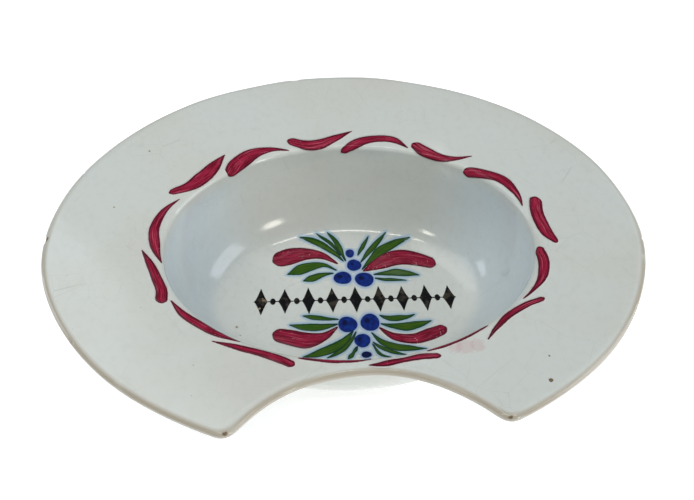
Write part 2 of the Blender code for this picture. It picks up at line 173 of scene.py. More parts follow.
LEAVES = {
    "leaf_upper_left_outer":
        ((-9.5, 21.8, 0.5), (-16.5, 26.3, 1.5), (-24.8, 25.9, 3.2), (-32.7, 23.6, 3.8), (-40.5, 20.8, 0.3)),
    "leaf_upper_left_inner":
        ((-11.5, 19.8, 0.5), (-16.5, 19.5, 1.3), (-21.4, 18.4, 2.3), (-26.2, 16.7, 2.5),
         (-31.0, 15.3, 0.3)),
    "leaf_lower_left_inner":
        ((-11.0, -13.2, 0.5), (-16.6, -12.5, 1.1), (-22.1, -11.8, 1.7), (-27.6, -10.7, 1.7),
         (-33.0, -9.2, 0.3)),
    "leaf_lower_left_outer":
        ((-12.0, -16.2, 0.5), (-19.2, -17.6, 1.9), (-26.5, -17.7, 2.7), (-33.8, -16.8, 2.1),
         (-41.0, -15.2, 0.3)),
    "leaf_upper_right_outer":
        ((12.5, 17.3, 0.5), (19.8, 17.8, 1.7), (27.2, 18.2, 2.8), (34.4, 17.0, 2.2), (41.5, 15.3, 0.3)),
    "leaf_upper_right_inner":
        ((13.0, 14.8, 0.5), (17.9, 13.6, 1.1), (22.9, 12.9, 1.3), (28.0, 12.4, 0.9), (33.0, 11.8, 0.3)),
    "leaf_lower_right_inner":
        ((12.5, -11.7, 0.4), (17.6, -14.3, 1.7), (23.3, -14.6, 2.2), (29.0, -14.1, 1.4),
         (34.5, -12.7, 0.3)),
    "leaf_lower_right_outer":
        ((12.5, -17.7, 0.4), (20.1, -19.7, 1.8), (28.0, -20.7, 3.0), (35.9, -19.7, 2.3),
         (43.5, -17.7, 0.3)),
}
BLADES = {
    "blade_upper_left_1":
        ((-4.5, 28.3, 0.4), (-9.6, 35.1, 1.7), (-15.9, 40.9, 2.3), (-23.3, 44.9, 1.9), (-31.6, 46.9, 0.3)),
    "blade_upper_left_2":
        ((-6.0, 32.8, 0.6), (-8.6, 37.9, 1.0), (-11.7, 42.7, 1.3), (-16.1, 46.3, 1.0), (-21.0, 49.3, 0.3)),
    "blade_upper_left_3":
        ((-3.5, 28.3, 0.5), (-5.0, 34.3, 1.2), (-6.7, 40.2, 1.9), (-9.7, 45.6, 1.4), (-13.9, 50.1, 0.3)),
    "blade_upper_right_1":
        ((4.5, 32.3, 0.4), (6.3, 36.0, 1.2), (8.4, 39.5, 1.5), (10.7, 42.9, 1.1), (13.0, 46.3, 0.3)),
    "blade_upper_right_2":
        ((5.5, 26.8, 0.4), (9.8, 32.3, 1.4), (14.3, 37.7, 2.1), (19.0, 42.8, 1.6), (24.2, 47.5, 0.3)),
    "blade_upper_right_3":
        ((6.0, 21.3, 0.4), (12.7, 29.0, 2.0), (20.1, 35.9, 3.4), (29.3, 40.0, 2.4), (39.2, 42.4, 0.3)),
    "blade_lower_left_1":
        ((-3.5, -21.2, 0.5), (-9.5, -27.8, 2.3), (-17.2, -32.2, 3.0), (-25.6, -35.2, 2.4),
         (-34.3, -37.0, 0.3)),
    "blade_lower_left_2":
        ((-2.0, -21.7, 0.4), (-5.3, -27.3, 1.2), (-9.5, -32.2, 1.6), (-14.9, -35.7, 1.4),
         (-20.8, -38.3, 0.3)),
    "blade_lower_left_3":
        ((-2.0, -31.7, 0.4), (-3.6, -33.8, 1.2), (-5.2, -36.0, 1.0), (-6.8, -38.1, 1.5),
         (-8.7, -39.9, 0.3)),
    "blade_lower_right_1":
        ((6.5, -23.2, 0.4), (12.1, -29.9, 1.9), (20.0, -33.7, 2.5), (28.7, -35.5, 2.0), (37.4, -37.0, 0.3)),
    "blade_lower_right_2":
        ((6.5, -29.2, 0.4), (10.5, -32.9, 1.3), (15.1, -35.7, 1.5), (20.1, -38.0, 1.2), (25.3, -39.6, 0.3)),
    "blade_lower_right_3":
        ((6.0, -30.2, 0.4), (7.8, -33.7, 0.8), (9.7, -37.2, 1.1), (12.9, -39.5, 0.8), (16.6, -40.8, 0.3)),
}
# Each berry: its middle and its half sizes along and across, in millimetres
BERRIES = {
    "berry_upper_tip": (-0.3, 34.5, 2.8, 3.3),
    "berry_upper_middle": (1.5, 25.2, 4.5, 4.5),
    "berry_upper_left": (-6.5, 16.1, 5.5, 4.8),
    "berry_upper_right": (6.7, 14.1, 5.8, 5.3),
    "berry_lower_left": (-6.6, -16.9, 5.8, 5.3),
    "berry_lower_right": (6.7, -16.4, 5.8, 5.8),
    "berry_lower_middle": (0.9, -28.2, 4.8, 4.5),
    "berry_lower_tip": (2.2, -37.6, 3.0, 2.2),
}
BERRY_SEGMENTS = 56
# Berries smaller than this are navy all over
NAVY_BERRY = 3 * MM

# Chain of lozenges and beads across the middle of the floor
CHAIN_HALF_LENGTH = 61 * MM
CHAIN_TILT = math.radians(-2)
CHAIN_LOZENGES = 9
LOZENGE_HALF = 9.4 * MM
BEAD_HALF = 2.3 * MM
LINK_HALF = 0.4 * MM
# Shares of the chain's repeat: the middles and half lengths of the lozenge and the bead
LOZENGE_AT = 0.3
LOZENGE_SHARE = 0.3
BEAD_AT = 0.8
BEAD_SHARE = 0.12
LOZENGE_HOLLOW = 1.35
CHAIN_COLUMNS = 421
CHAIN_ROWS = 21

# How far each enamel bleeds into the glaze round it, the thickness of its body and its
# fringe, and how deep its underside bites into the glaze
CRIMSON_BLEED = 0.7 * MM
BLUE_BLEED = 2.8 * MM
BLACK_BLEED = 0.4 * MM
ENAMEL_RISE = 0.12 * MM
FRINGE_RISE = 0.03 * MM
ENAMEL_BITE = 0.05 * MM
# How far the brush wanders, and the mesh of a mark: its rows, its step and thinnest half
GARLAND_WOBBLE = 0.12 * MM
MARK_WOBBLE = 0.10 * MM
GARLAND_ROWS = 11
MARK_ROWS = 15
MARK_STEP = 0.9 * MM
LEAST_COLUMNS = 24
LEAST_HALF = 0.03 * MM
# How much further along its spine a mark looks for its heading, as a share of its length
AHEAD = 0.01

# ---------------------------------------------------------------- wear

# Chips on the rim's edge: how deep they go, how far they sit under its top, and for each
# its direction from the plan's middle in degrees and its radius
CHIP_DEPTH = 0.9 * MM
CHIP_DROP = 1.2 * MM
EDGE_CHIPS = ((179, 2.4), (98.7, 2.1), (156.7, 1.0), (-6.9, 1.4), (-151, 1.0))
# Chips and pinholes in the glaze: plan position and radius in millimetres
FACE_CHIPS = ((84, -101.8, 1.1), (87, -88.8, 0.5))
PINHOLES = ((-111, 58, 0.5), (-127, 17, 0.4), (-66, -27, 0.6), (-64, -33, 0.3))


# ---------------------------------------------------------------- the bowl's geometry

def oval_reach(a, b, angle):
    """Distance from an oval's centre to its edge along a ray."""
    return a * b / np.hypot(b * np.cos(angle), a * np.sin(angle))


def outline_excess(x, y, notched):
    """Below zero inside the rim's outline, above zero outside it."""
    level = np.abs(x / RIM_A) ** OUTLINE_POWER + np.abs((y - OUTLINE_Y) / RIM_B) ** OUTLINE_POWER
    edge = (level ** (1 / OUTLINE_POWER) - 1) * RIM_B
    turn = np.arctan2(y - OUTLINE_Y, x)
    edge = edge + OUTLINE_WAVE * np.sin(5 * turn + 0.8) + OUTLINE_RIPPLE * np.sin(13 * turn)
    if not notched:
        return edge
    bite = NOTCH_RADIUS - np.hypot(x - NOTCH_X, y - NOTCH_Y)
    bite = bite + NOTCH_WAVE * np.sin(x / NOTCH_WAVE_RUN)
    blend = np.maximum(TIP_BLEND - np.abs(edge - bite), 0) / TIP_BLEND
    return np.maximum(edge, bite) + blend * blend * TIP_BLEND / 4


def rim_reach(angle, notched=True, inset=0.0):
    """Distance from the well's centre to the rim's edge, or to a line inside it."""
    near = np.full_like(angle, NEAREST_REACH)
    far = np.full_like(angle, FURTHEST_REACH)
    for _ in range(HALVINGS):
        middle = (near + far) / 2
        x = middle * np.cos(angle)
        y = WELL_Y + middle * np.sin(angle)
        inside = outline_excess(x, y, notched) < -inset
        near = np.where(inside, middle, near)
        far = np.where(inside, far, middle)
    return near


def well_section():
    """The rounded edge and the wall down to the floor: distance along, inset and height."""
    rise = EDGE_Z - FLOOR_Z - EDGE_RADIUS
    run = WALL_RUN - EDGE_RADIUS
    turn = np.linspace(0, math.pi / 2, SECTION_STEPS)
    edge_inset = EDGE_RADIUS * np.sin(turn)
    edge_height = EDGE_Z - EDGE_RADIUS * (1 - np.cos(turn))
    wall_inset = WALL_RUN - run * np.cos(turn[1:])
    wall_height = FLOOR_Z + rise * (1 - np.sin(turn[1:]))
    insets = np.concatenate((edge_inset, wall_inset))
    heights = np.concatenate((edge_height, wall_height))
    arc = np.concatenate(([0], np.cumsum(np.hypot(np.diff(insets), np.diff(heights)))))
    return arc, insets, heights


SECTION_ARC, SECTION_INSETS, SECTION_HEIGHTS = well_section()
WALL_ARC = SECTION_ARC[-1]
EDGE_ARC = EDGE_RADIUS * math.pi / 2


def from_middle(angle, reach, height):
    """Points at a reach from the well's middle, along each ray, and at a height."""
    x = reach * np.cos(angle)
    y = WELL_Y + reach * np.sin(angle)
    return np.stack((x, y, np.broadcast_to(height, x.shape)), axis=-1)


def well_point(angle, inset, height):
    """A point on the wall, at an inset that shrinks with the well's oval."""
    edge = oval_reach(EDGE_A, EDGE_B, angle)
    floor = oval_reach(EDGE_A - WALL_RUN, EDGE_B - WALL_RUN, angle)
    return from_middle(angle, edge - (edge - floor) * inset / WALL_RUN, height)


def rim_point(angle, reach):
    """A point on the rim, which climbs evenly to the edge it had before the notch."""
    edge = oval_reach(EDGE_A, EDGE_B, angle)
    share = (reach - edge) / (rim_reach(angle, False) - edge)
    return from_middle(angle, reach, EDGE_Z + RIM_RISE * share)


def edge_point(angle, across):
    """A point of the glaze at a distance across the well's edge, outwards positive."""
    depth = np.maximum(-across, 0)
    inset = np.interp(depth, SECTION_ARC, SECTION_INSETS)
    height = np.interp(depth, SECTION_ARC, SECTION_HEIGHTS)
    down = well_point(angle, inset, height)
    out = rim_point(angle, oval_reach(EDGE_A, EDGE_B, angle) + np.maximum(across, 0))
    return np.where((across >= 0)[..., None], out, down)


def floor_point(x, y):
    """The point of the floor or the lower wall at a plan position."""
    angle = np.arctan2(y - WELL_Y, x)
    reach = np.hypot(x, y - WELL_Y)
    edge = oval_reach(EDGE_A, EDGE_B, angle)
    floor = oval_reach(EDGE_A - WALL_RUN, EDGE_B - WALL_RUN, angle)
    inset = np.clip(WALL_RUN * (edge - reach) / (edge - floor), 0, WALL_RUN)
    height = np.interp(inset, SECTION_INSETS, SECTION_HEIGHTS)
    return np.stack((x, y, height), axis=-1)


def waviness(point):
    """The slight unevenness of a hand-pressed bowl, as a height along the normal."""
    x, y, z = np.moveaxis(point, -1, 0)
    long_wave = np.sin(52 * x + 1.3) * np.cos(61 * y - 0.4) + 0.6 * np.sin(83 * y + 47 * x + 40 * z)
    short_wave = np.sin(171 * x + 90 * z + 0.7) * np.sin(149 * y + 2.1)
    return FACE_WAVE * long_wave + FACE_RIPPLE * short_wave


def normals_of(surface, first, second):
    """Upward unit normals of a two-parameter surface, by central differences."""
    step = SLOPE_STEP
    turn_step = step / SMALL_REACH if surface is edge_point else step
    along = surface(first + turn_step, second) - surface(first - turn_step, second)
    over = surface(first, second + step) - surface(first, second - step)
    normal = np.cross(along, over)
    normal *= np.sign(normal[..., 2:3]) / np.linalg.norm(normal, axis=-1, keepdims=True)
    return normal


def lifted(surface, first, second, height):
    """A point of a two-parameter surface raised by a height off the uneven glaze."""
    point = surface(first, second)
    raise_by = waviness(point) + height
    return point + normals_of(surface, first, second) * raise_by[..., None]


def chip_points():
    """Where the edge chips sit: on the rim's outline, just under its top."""
    points = []
    for degrees, radius in EDGE_CHIPS:
        turn = math.radians(degrees)
        x = RIM_A * math.cos(turn)
        y = OUTLINE_Y + RIM_B * math.sin(turn)
        angle = np.array([math.atan2(y - WELL_Y, x)])
        spot = rim_point(angle, rim_reach(angle))[0]
        points.append((Vector(spot) + Vector((0, 0, -CHIP_DROP)), radius * MM))
    return points


def tip_points():
    """The two corners where the notch meets the rim's outline, worn bare."""
    angle = np.radians(np.linspace(-175, -5, 1701))
    reach = rim_reach(angle)
    x = reach * np.cos(angle)
    y = WELL_Y + reach * np.sin(angle)
    bite = NOTCH_RADIUS - np.hypot(x - NOTCH_X, y - NOTCH_Y)
    apart = np.abs(outline_excess(x, y, False) - bite)
    spots = []
    for side in (-1, 1):
        best = np.argmin(np.where(np.sign(x - NOTCH_X) == side, apart, 1))
        spots.append(Vector(rim_point(angle[best:best + 1], reach[best:best + 1])[0]))
    return spots


CHIPS = chip_points()
TIPS = tip_points()


def dented(points):
    """Presses the chips into the points of a surface near the rim's edge."""
    centre = np.array((0, WELL_Y, FLOOR_Z))
    for spot, radius in CHIPS:
        away = np.linalg.norm(points - np.array(spot), axis=-1)
        depth = CHIP_DEPTH * np.clip(1 - away / (radius * 1.3), 0, 1) ** 0.7
        inward = centre - points
        inward = inward / np.linalg.norm(inward, axis=-1, keepdims=True)
        points = points + inward * depth[..., None]
    return points


# ---------------------------------------------------------------- meshes from rings and grids

def ray_angles():
    """Ray directions from the well's centre, spaced evenly along the rim's outline."""
    fine = np.linspace(-math.pi, math.pi, 20001)
    reach = rim_reach(fine)
    x = reach * np.cos(fine)
    y = reach * np.sin(fine)
    along_rim = np.concatenate(([0], np.cumsum(np.hypot(np.diff(x), np.diff(y)))))
    turn = np.arctan2(np.sin(fine) * EDGE_A, np.cos(fine) * EDGE_B)
    along_well = np.unwrap(turn) - turn[0]
    measure = along_rim / along_rim[-1] + along_well / along_well[-1]
    wanted = np.linspace(0, 2, RAYS, endpoint=False)
    return np.interp(wanted, measure, fine)


ANGLES = ray_angles()


def pick(count):
    """An even choice of the rays, every second or fourth one for a coarser ring."""
    return ANGLES[::RAYS // count]


def set_layer(mesh, name, values):
    """Gives each vertex a number that the finishes read."""
    flat = np.asarray(values, np.float32).reshape(-1)
    mesh.attributes.new(name, "FLOAT", "POINT").data.foreach_set("value", flat)


def mesh_from(name, points, faces, layers=None):
    mesh = bpy.data.meshes.new(name)
    mesh.from_pydata(points.tolist(), [], faces)
    for layer, values in (layers or {}).items():
        set_layer(mesh, layer, values)
    mesh.validate()
    return mesh


def material_object(name, mesh, material):
    obj = bpy.data.objects.new(name, mesh)
    obj.data.materials.append(material)
    bpy.context.scene.collection.objects.link(obj)
    mesh.shade_smooth()
    return obj


def ring_mesh(name, rings, start, end, layers=None):
    """A closed surface through rings of points, each as long as the last, half or twice."""
    points = [np.array([start])]
    firsts = []
    total = 1
    for ring in rings:
        firsts.append(total)
        points.append(ring)
        total += len(ring)
    points.append(np.array([end]))
    faces = []
    first, count = firsts[0], len(rings[0])
    faces += [(0, first + j, first + (j + 1) % count) for j in range(count)]
    for k in range(1, len(rings)):
        a, b = firsts[k - 1], firsts[k]
        na, nb = len(rings[k - 1]), len(rings[k])
        if na == nb:
            faces += [(a + j, b + j, b + (j + 1) % nb, a + (j + 1) % na) for j in range(na)]
        elif nb == 2 * na:
            for j in range(na):
                here, there = a + j, a + (j + 1) % na
                left, middle, right = b + 2 * j, b + 2 * j + 1, b + (2 * j + 2) % nb
                faces += [(here, left, middle), (here, middle, there), (there, middle, right)]
        else:
            for j in range(nb):
                here, there = b + j, b + (j + 1) % nb
                left, middle, right = a + 2 * j, a + 2 * j + 1, a + (2 * j + 2) % na
                faces += [(left, here, middle), (here, there, middle), (there, right, middle)]
    last, count = firsts[-1], len(rings[-1])
    faces += [(total, last + (j + 1) % count, last + j) for j in range(count)]
    return mesh_from(name, np.concatenate(points), faces, layers)


def skin_rings(lift, detail, rays):
    """Rings of the bowl's upper face from the middle of the floor out to the well's edge.

    A negative lift gives the face inside the thickness. Detail thins out the rings.
    """
    rings = []
    quarter = max(rays // 4, RAYS // 8)
    half = max(rays // 2, RAYS // 8)
    floor_steps = FLOOR_RINGS // detail
    for k in range(1, floor_steps + 1):
        share = k / floor_steps
        angle = pick(quarter if share < 0.5 else half)
        reach = share * oval_reach(EDGE_A - WALL_RUN, EDGE_B - WALL_RUN, angle)
        x = reach * np.cos(angle)
        y = WELL_Y + reach * np.sin(angle)
        rings.append(lifted(floor_point, x, y, lift))
    wall_steps = WALL_RINGS // detail
    for k in range(1, wall_steps):
        depth = WALL_ARC - (WALL_ARC - EDGE_ARC) * k / wall_steps
        angle = pick(half if k < wall_steps // 2 else rays)
        rings.append(lifted(edge_point, angle, np.full_like(angle, -depth), lift))
    edge_steps = EDGE_RINGS // detail
    for k in range(edge_steps + 1):
        depth = EDGE_ARC * (1 - k / edge_steps) + 0.1 * MM
        angle = pick(rays)
        rings.append(lifted(edge_point, angle, np.full_like(angle, -depth), lift))
    return rings


def rim_rings(lift, steps, rays):
    """Rings across the flat of the rim, from the well's edge to the start of the lip."""
    angle = pick(rays)
    edge = oval_reach(EDGE_A, EDGE_B, angle)
    outer = np.maximum(rim_reach(angle, inset=LIP_RUN), edge + 0.3 * MM)
    rings = []
    for k in range(1, steps + 1):
        across = (outer - edge) * k / steps
        rings.append(lifted(edge_point, angle, across, lift))
    return rings


def lip_rings(inset, rays, detail):
    """Rings round the rolled lip, from its start on top to its start underneath."""
    angle = pick(rays)
    flat_reach = rim_reach(angle, inset=LIP_RUN)
    edge = oval_reach(EDGE_A, EDGE_B, angle)
    uneven = 1 + 0.12 * np.sin(7 * angle + 1) + 0.08 * np.sin(17 * angle)
    section = []
    for turn in np.linspace(0, math.pi / 2, LIP_RINGS // detail + 1)[1:]:
        section.append((LIP_RUN * (1 - math.sin(turn)), LIP_FALL * (1 - math.cos(turn)), True))
    for turn in np.linspace(0, math.pi / 2, LIP_UNDER_RINGS // detail + 1):
        under = UNDER_FALL * (1 - math.sin(turn))
        section.append((UNDER_RUN * (1 - math.cos(turn)), THICKNESS - under, False))
    rings = []
    shrink = (THICKNESS - 2 * inset) / THICKNESS
    for distance, drop, on_top in section:
        reach = np.maximum(rim_reach(angle, inset=distance + inset), edge + LEAST_RIM)
        if on_top and distance > 0.9 * LIP_RUN:
            reach = np.maximum(reach, flat_reach)
        point = rim_point(angle, reach)
        point[:, 2] += waviness(point)
        point[:, 2] -= inset + drop * shrink * (uneven if on_top else 1)
        rings.append(dented(point) if inset == 0 else point)
    return rings


def under_rings(lift, detail, rays, foot_a, foot_b):
    """Rings of the underside from the lip in to the foot, at a lift from the upper face."""
    angle = pick(rays)
    edge = oval_reach(EDGE_A, EDGE_B, angle)
    outer = np.maximum(rim_reach(angle, inset=UNDER_RUN + 1 * MM), edge + LEAST_RIM)
    rings = []
    rim_steps = RIM_UNDER_RINGS // detail
    for k in range(rim_steps):
        across = (outer - edge) * (1 - k / rim_steps)
        rings.append(lifted(edge_point, angle, across, lift))
    wall_steps = WALL_UNDER_RINGS // detail
    for k in range(1, wall_steps + 1):
        depth = WALL_ARC * k / wall_steps
        rings.append(lifted(edge_point, angle, np.full_like(angle, -depth), lift))
    rings.append(from_middle(angle, oval_reach(foot_a, foot_b, angle), FLOOR_Z + lift))
    return rings


def grid_mesh(name, top, bottom, layers):
    """A closed thin body between two grids of points that share an outline's layout."""
    rows, columns = top.shape[:2]
    count = rows * columns
    points = np.concatenate((top.reshape(-1, 3), bottom.reshape(-1, 3)))

    def at(i, j, under):
        return i * columns + j + (count if under else 0)

    faces = []
    for i in range(rows - 1):
        for j in range(columns - 1):
            faces.append((at(i, j, 0), at(i + 1, j, 0), at(i + 1, j + 1, 0), at(i, j + 1, 0)))
            faces.append((at(i, j, 1), at(i, j + 1, 1), at(i + 1, j + 1, 1), at(i + 1, j, 1)))
    for i in range(rows - 1):
        faces.append((at(i, 0, 0), at(i, 0, 1), at(i + 1, 0, 1), at(i + 1, 0, 0)))
        j = columns - 1
        faces.append((at(i, j, 1), at(i, j, 0), at(i + 1, j, 0), at(i + 1, j, 1)))
    for j in range(columns - 1):
        faces.append((at(0, j, 1), at(0, j, 0), at(0, j + 1, 0), at(0, j + 1, 1)))
        i = rows - 1
        faces.append((at(i, j, 0), at(i, j, 1), at(i, j + 1, 1), at(i, j + 1, 0)))
    return mesh_from(name, points, faces, {key: (value, value) for key, value in layers.items()})


def face_outwards(mesh):
    """Turns the faces of a closed mesh outwards, judged by its volume."""
    mesh.calc_loop_triangles()
    points = np.array([v.co for v in mesh.vertices])
    corners = points[np.array([t.vertices for t in mesh.loop_triangles])]
    volume = np.einsum("ij,ij->i", corners[:, 0], np.cross(corners[:, 1], corners[:, 2])).sum()
    if volume < 0:
        mesh.flip_normals()


# ---------------------------------------------------------------- shader helpers

class Shader:
    """A material's node tree with short calls for the nodes that the finishes share."""

    def __init__(self, name):
        self.material = bpy.data.materials.new(name)
        self.material.use_nodes = True
        self.tree = self.material.node_tree
        self.surface = self.tree.nodes["Principled BSDF"]
        self.place = self.node("ShaderNodeTexCoord").outputs["Object"]

    def node(self, kind, inputs=None, **settings):
        made = self.tree.nodes.new(kind)
        for key, value in settings.items():
            setattr(made, key, value)
        for key, value in (inputs or {}).items():
            self.set(made.inputs[key], value)
        return made

    def set(self, socket, value):
        if isinstance(value, bpy.types.NodeSocket):
            self.tree.links.new(value, socket)
        elif isinstance(value, tuple) and socket.type == "RGBA":
            socket.default_value = (*value, 1)
        else:
            socket.default_value = value

    def math(self, operation, first, second=0.0):
        return self.node("ShaderNodeMath", {0: first, 1: second}, operation=operation).outputs[0]

    def times(self, first, second):
        return self.math("MULTIPLY", first, second)

    def plus(self, first, second):
        return self.math("ADD", first, second)

    def ramp(self, value, low, high):
        """Zero below low and one above high, or the other way round if low > high."""
        inputs = {"Value": value, "From Min": min(low, high), "From Max": max(low, high),
                  "To Min": float(low > high), "To Max": float(low <= high)}
        made = self.node("ShaderNodeMapRange", inputs, clamp=True, interpolation_type="SMOOTHSTEP")
        return made.outputs["Result"]

    def mix(self, share, first, second):
        inputs = {0: share, 6: first, 7: second}
        return self.node("ShaderNodeMix", inputs, data_type="RGBA", clamp_factor=True).outputs[2]

    def tint(self, colour, mask, weight, other):
        """A colour drawn towards another by a weight, where the mask shows."""
        return self.mix(self.times(mask, weight), colour, other)

    def noise(self, size, detail=2.0, vector=None, offset=0.0):
        """Noise whose features are about size metres across, from 0 to 1."""
        inputs = {"Scale": 1 / size, "Detail": detail, "W": offset,
                  "Vector": self.place if vector is None else vector}
        return self.node("ShaderNodeTexNoise", inputs, noise_dimensions="4D").outputs["Fac"]

    def cells(self, size, feature):
        inputs = {"Scale": 1 / size, "Vector": self.place}
        return self.node("ShaderNodeTexVoronoi", inputs, feature=feature)

    def dots(self, size, width, core, share, fade):
        """Round dots in some of the cells of a pattern: all those past a share."""
        cells = self.cells(size, "F1")
        colour = self.node("ShaderNodeSeparateColor", {0: cells.outputs["Color"]})
        chosen = self.ramp(colour.outputs[0], share, share + fade)
        return self.times(self.ramp(cells.outputs["Distance"], width, core), chosen)

    def layer(self, name):
        return self.node("ShaderNodeAttribute", attribute_name=name).outputs["Fac"]

    def vector(self, x, y, z):
        return self.node("ShaderNodeCombineXYZ", {0: x, 1: y, 2: z}).outputs[0]

    def distance(self, place, spot):
        away = self.node("ShaderNodeVectorMath", {0: place, 1: spot}, operation="DISTANCE")
        return away.outputs["Value"]

    def near(self, spot, radius, ragged=0.0, flat=False):
        """One within a radius of a point, falling to zero just outside it."""
        place = self.place
        if flat:
            plan = {0: self.place, 1: (1, 1, 0)}
            place = self.node("ShaderNodeVectorMath", plan, operation="MULTIPLY").outputs[0]
        distance = self.distance(place, spot)
        if ragged:
            rough = self.math("SUBTRACT", self.noise(1.2 * MM), 0.5)
            distance = self.plus(distance, self.times(rough, ragged))
        return self.ramp(distance, radius * 1.1, radius * 0.8)

    def finish(self, colour, roughness, height=None, depth=0.0):
        """The finished material. A height gives it a relief depth metres deep."""
        self.set(self.surface.inputs["Base Color"], colour)
        self.set(self.surface.inputs["Roughness"], roughness)
        if height is not None:
            bump = self.node("ShaderNodeBump", {"Strength": 1, "Distance": depth, "Height": height})
            self.set(self.surface.inputs["Normal"], bump.outputs["Normal"])
        return self.material


# ---------------------------------------------------------------- glaze and clay finishes

GLAZE_GREY = (0.600, 0.635, 0.600)
GLAZE_WARM = (0.590, 0.600, 0.550)
GLAZE_BLUE = (0.560, 0.625, 0.645)
GLAZE_POOL = (0.690, 0.715, 0.675)
GLAZE_MOTTLE = (0.48, 0.50, 0.46)
CRACKLE = (0.30, 0.30, 0.27)
IRON_SPECK = (0.16, 0.14, 0.11)
PINHOLE = (0.12, 0.10, 0.07)
PINHOLE_HALO = (0.45, 0.36, 0.20)
# Cream of the lip: clay through thin glaze, darkened further as painted shade
EDGE_CREAM_AND_SHADE = (0.41, 0.375, 0.30)
SMUDGE = (0.52, 0.27, 0.29)
CHIP_BROWN = (0.085, 0.060, 0.035)
CHIP_BUFF = (0.24, 0.17, 0.10)
CHIP_ROUGHNESS = 0.9
TIP_WEAR = 2.0 * MM

# Crackle: the size of its cells, its lines' width and their weight
CRACKLES = ((17 * MM, 0.010, 0.24), (7 * MM, 0.018, 0.15))
# Specks: the size of their cells, their width and how few of the cells have one
SPECKS = ((13 * MM, 0.035, 0.6), (6 * MM, 0.05, 0.75))
# A smear of crimson beside a stroke near the notch: spots along X and their radii
SMEAR_Y = -79.5 * MM
SMEAR = ((43, 3.6), (48, 4.6), (54, 3.8))


def glaze_finish(shader, lip=0.0):
    """Colour and roughness of the tin glaze at a point: the enamels' borders use it too."""
    x, y, z = shader.node("ShaderNodeSeparateXYZ", {0: shader.place}).outputs
    colour = shader.mix(shader.ramp(shader.noise(60 * MM, 3), 0.35, 0.7), GLAZE_GREY, GLAZE_WARM)
    # The glaze runs down and pools bluer on the well's ends
    end = shader.ramp(shader.math("ABSOLUTE", x), 45 * MM, 90 * MM)
    low = shader.ramp(z, EDGE_Z - 1 * MM, EDGE_Z - 12 * MM)
    colour = shader.tint(colour, end, low, GLAZE_BLUE)
    colour = shader.mix(shader.ramp(z, FLOOR_Z + 7 * MM, FLOOR_Z + 0.5 * MM), colour, GLAZE_POOL)
    mottle = shader.ramp(shader.noise(4 * MM, 3, offset=3), 0.45, 0.75)
    colour = shader.tint(colour, mottle, 0.20, GLAZE_MOTTLE)
    # Two sizes of faint lines, fading in and out
    for size, width, weight in CRACKLES:
        crack = shader.ramp(shader.cells(size, "DISTANCE_TO_EDGE").outputs["Distance"], width, 0)
        shown = shader.ramp(shader.noise(30 * MM, 1, offset=size / MM), 0.45, 0.65)
        colour = shader.tint(colour, shader.times(crack, shown), weight, CRACKLE)
    for size, width, share in SPECKS:
        dots = shader.dots(size, width, width * 0.4, share, 0.02)
        colour = shader.tint(colour, dots, 0.68, IRON_SPECK)
    for px, py, radius in PINHOLES:
        spot = (px * MM, py * MM, 0)
        colour = shader.tint(colour, shader.near(spot, radius * 2.2 * MM, flat=True), 0.25, PINHOLE_HALO)
        colour = shader.tint(colour, shader.near(spot, radius * MM, flat=True), 0.85, PINHOLE)
    for px, radius in SMEAR:
        smear = shader.near((px * MM, SMEAR_Y, 0), radius * MM, ragged=5 * MM, flat=True)
        colour = shader.tint(colour, smear, 0.26, SMUDGE)
    # Clay warms the lip through thin glaze, most along the notch; painted shade darkens it there too
    thin_glaze_and_shade = shader.times(lip, shader.ramp(shader.noise(14 * MM, 2, offset=9), 0.1, 0.42))
    # Painted shade on the edge, stronger towards the front
    front_shade_weight = shader.plus(shader.times(shader.ramp(y, 30 * MM, -50 * MM), 0.55), 0.45)
    colour = shader.tint(colour, thin_glaze_and_shade, front_shade_weight, EDGE_CREAM_AND_SHADE)
    roughness = shader.plus(shader.times(shader.noise(9 * MM, 3, offset=5), 0.10), 0.06)
    return colour, roughness


def glaze_material():
    shader = Shader("tin_glaze_finish")
    colour, roughness = glaze_finish(shader, shader.layer("lip"))
    spots = [(spot, radius, False) for spot, radius in CHIPS]
    spots += [(spot, TIP_WEAR, False) for spot in TIPS]
    spots += [(Vector((x * MM, y * MM, 0)), radius * MM, True) for x, y, radius in FACE_CHIPS]
    bare = 0.0
    for spot, radius, flat in spots:
        bare = shader.math("MAXIMUM", bare, shader.near(spot, radius, radius * 0.9, flat))
    clay = shader.mix(shader.noise(0.8 * MM, 3, offset=2), CHIP_BROWN, CHIP_BUFF)
    colour = shader.mix(bare, colour, clay)
    roughness = shader.mix(bare, shader.vector(roughness, roughness, roughness), (CHIP_ROUGHNESS,) * 3)
    peel = shader.noise(2.5 * MM, 2, offset=7)
    height = shader.math("SUBTRACT", peel, shader.times(bare, 6.0))
    return shader.finish(colour, roughness, height, 0.012 * MM)


def clay_material(name, light, dark):
    shader = Shader(name)
    grain = shader.noise(1.1 * MM, 5)
    colour = shader.tint(shader.mix(grain, dark, light), shader.noise(18 * MM, 3, offset=4), 0.4, dark)
    grit = shader.ramp(shader.cells(1.6 * MM, "F1").outputs["Distance"], 0.25, 0.05)
    roughness = shader.plus(shader.times(grain, 0.15), 0.78)
    return shader.finish(colour, roughness, shader.plus(grain, grit), 0.1 * MM)


# ---------------------------------------------------------------- enamel finishes

